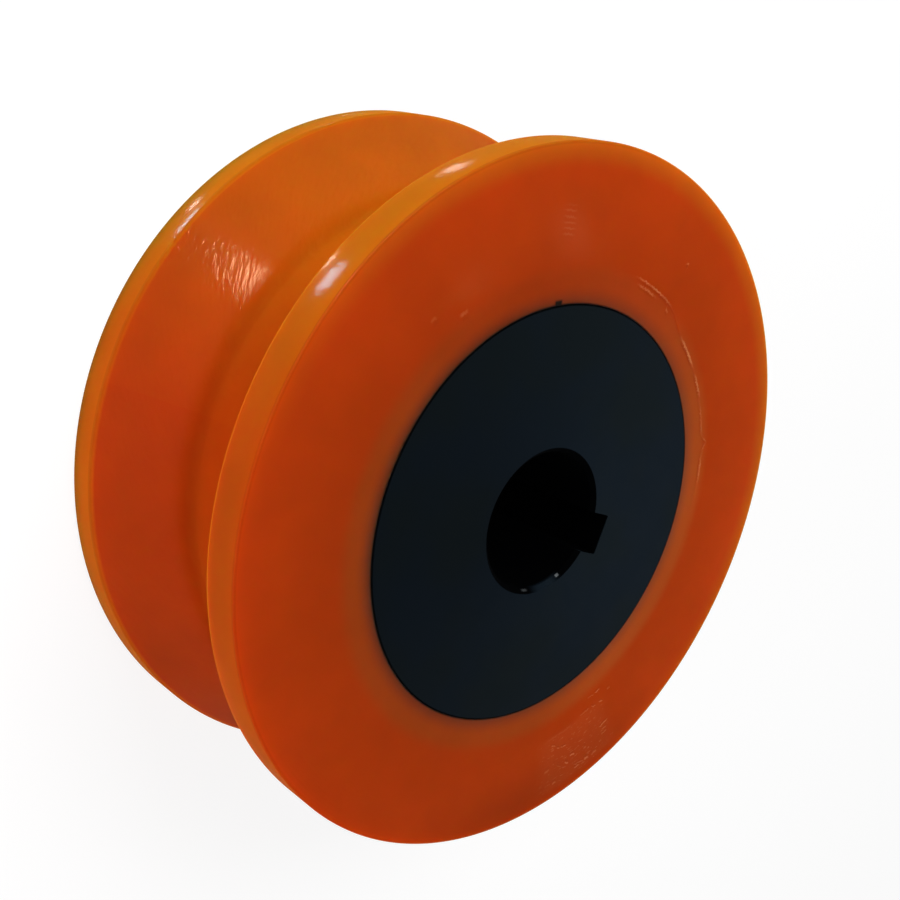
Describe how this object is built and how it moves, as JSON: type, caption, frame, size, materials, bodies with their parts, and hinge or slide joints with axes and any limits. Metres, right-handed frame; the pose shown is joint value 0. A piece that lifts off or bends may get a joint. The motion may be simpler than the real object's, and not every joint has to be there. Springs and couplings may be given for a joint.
{
  "type": "grooved polyurethane roller",
  "caption": "Polyurethane roller with a wide flat-bottomed groove round its rim, bonded on a dark steel hub with a keyed bore.",
  "frame": {"origin": "on the bore axis at mid width", "axes": "+Z along the bore axis, out of the face with the wider land; the keyway opens towards +X"},
  "size_m": [0.1, 0.1, 0.0406],
  "materials": {
    "hub": "blackened, satin",
    "tyre": "turned, semi-gloss, slightly translucent"
  },
  "bodies": {
    "root": {"hub": "hub", "tyre": "tyre"}
  },
  "joints": []
}
